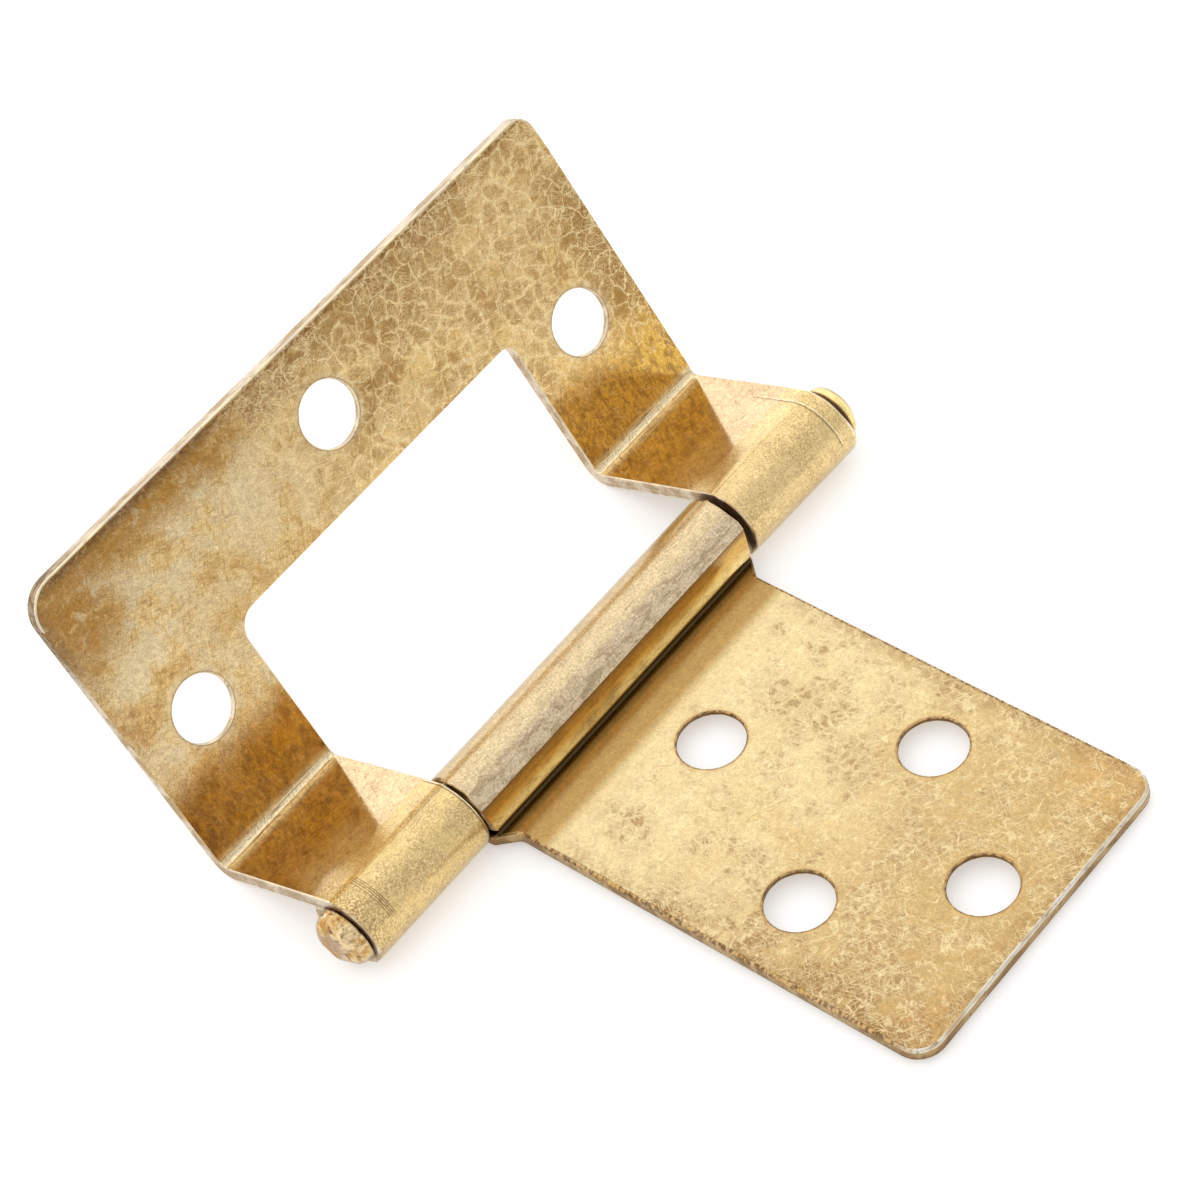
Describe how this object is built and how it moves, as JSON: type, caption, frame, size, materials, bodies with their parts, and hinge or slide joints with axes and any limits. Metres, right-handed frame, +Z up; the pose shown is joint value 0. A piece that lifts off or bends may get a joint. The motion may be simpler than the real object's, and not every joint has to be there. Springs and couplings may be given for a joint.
{
  "type": "flush hinge",
  "caption": "Cranked flush hinge in brass-plated sheet: a windowed outer leaf folded near a right angle, and an inner leaf that swings through its window on a peened pin.",
  "frame": {"origin": "middle of the footprint on the surface that the hinge rests on, halfway along the pin", "axes": "+X along the pin, +Y from the inner leaf towards the outer leaf, +Z up, out of the inner leaf's wood side"},
  "size_m": [0.0534, 0.06, 0.0225],
  "materials": {
    "outer_leaf_plating": "satin",
    "inner_leaf_plating": "satin",
    "pin_plating": "satin"
  },
  "bodies": {
    "outer": {"outer_leaf": "outer_leaf_plating", "hinge_pin": "pin_plating"},
    "inner": {"inner_leaf": "inner_leaf_plating"}
  },
  "joints": [
    {"name": "leaf_swing", "type": "hinge", "parent": "outer", "child": "inner", "pos_m": [0, 0.00703, 0.0028], "axis": [1, 0, 0], "range_deg": [-139, 198]}
  ]
}
